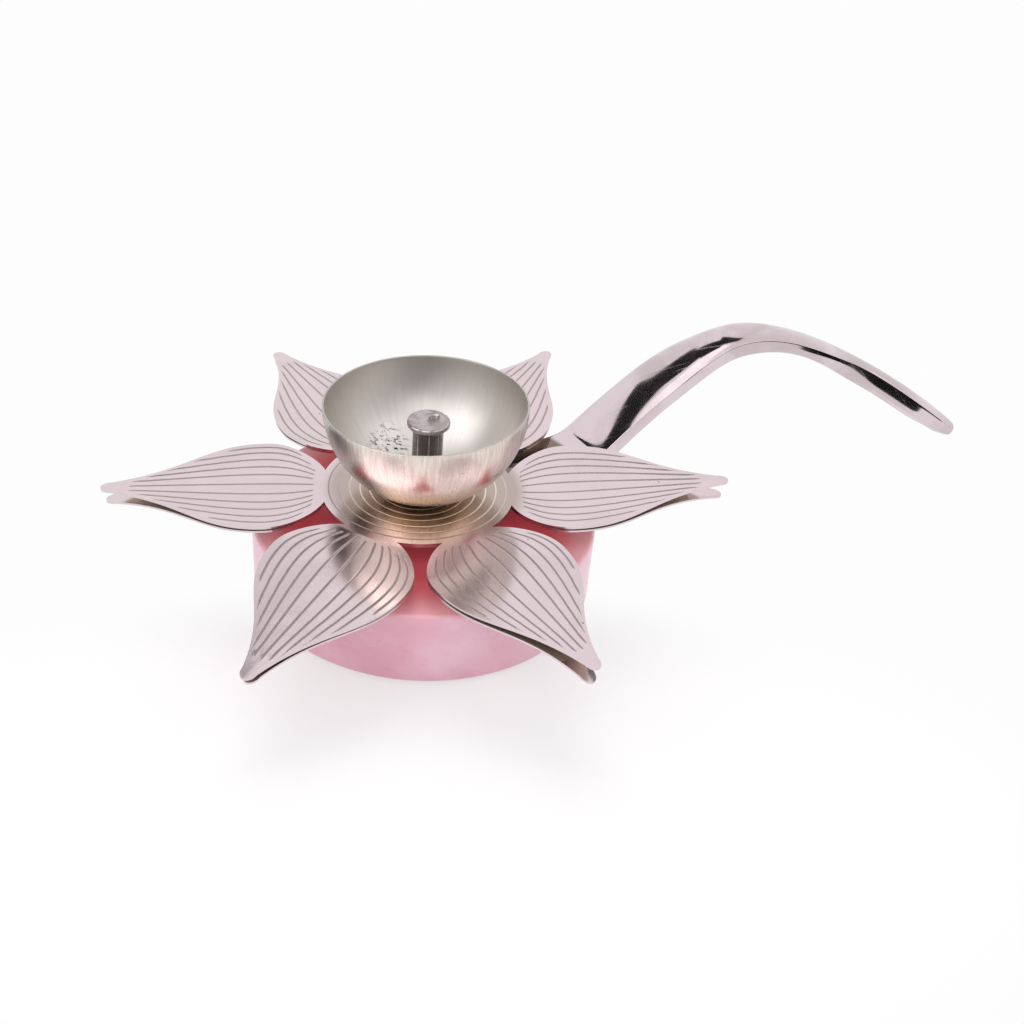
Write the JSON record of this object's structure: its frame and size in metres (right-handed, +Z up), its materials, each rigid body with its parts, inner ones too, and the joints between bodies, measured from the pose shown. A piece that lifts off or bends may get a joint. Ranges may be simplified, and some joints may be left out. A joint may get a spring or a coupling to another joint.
{
  "type": "oil lamp",
  "caption": "Silver lotus oil lamp: open bowl with a wick holder on two layers of engraved petals, a rose-coloured round block and an arched carrying handle.",
  "frame": {"origin": "centre of the felt pad's underside, where the lamp rests on the table, on the clamping bolt's axis", "axes": "+Z up along the bolt; +X along the first petal's heading; the handle leaves between the first and second petals and bends back towards +X"},
  "size_m": [0.2304, 0.1322, 0.0515],
  "materials": {
    "felt": "matt felt",
    "rose_block": "polished mottled cast resin",
    "fastener_steel": "bright zinc",
    "petal_silver": "satin silver plate with engraved lines",
    "handle_silver": "polished silver plate",
    "bowl_silver": "brushed silver plate",
    "seal_rubber": "matt",
    "wick_silver": "worn turned silver"
  },
  "bodies": {
    "base": {"felt_pad": "felt", "round_block": "rose_block", "centre_bolt": "fastener_steel", "flat_washer": "fastener_steel", "spring_washer": "fastener_steel", "lower_petal_plate": "petal_silver", "upper_petal_plate": "petal_silver", "handle": "handle_silver", "tang_screw_1": "fastener_steel", "tang_screw_2": "fastener_steel"},
    "bowl": {"oil_bowl": "bowl_silver", "seal_washer": "seal_rubber"},
    "wick_holder": {"wick_holder": "wick_silver"}
  },
  "joints": [
    {"name": "bowl_lift", "type": "slide", "parent": "base", "child": "bowl", "axis": [0, 0, 1], "range_m": [0, 0.014]},
    {"name": "wick_holder_lift", "type": "slide", "parent": "bowl", "child": "wick_holder", "axis": [0, 0, 1], "range_m": [0, 0.024]}
  ]
}
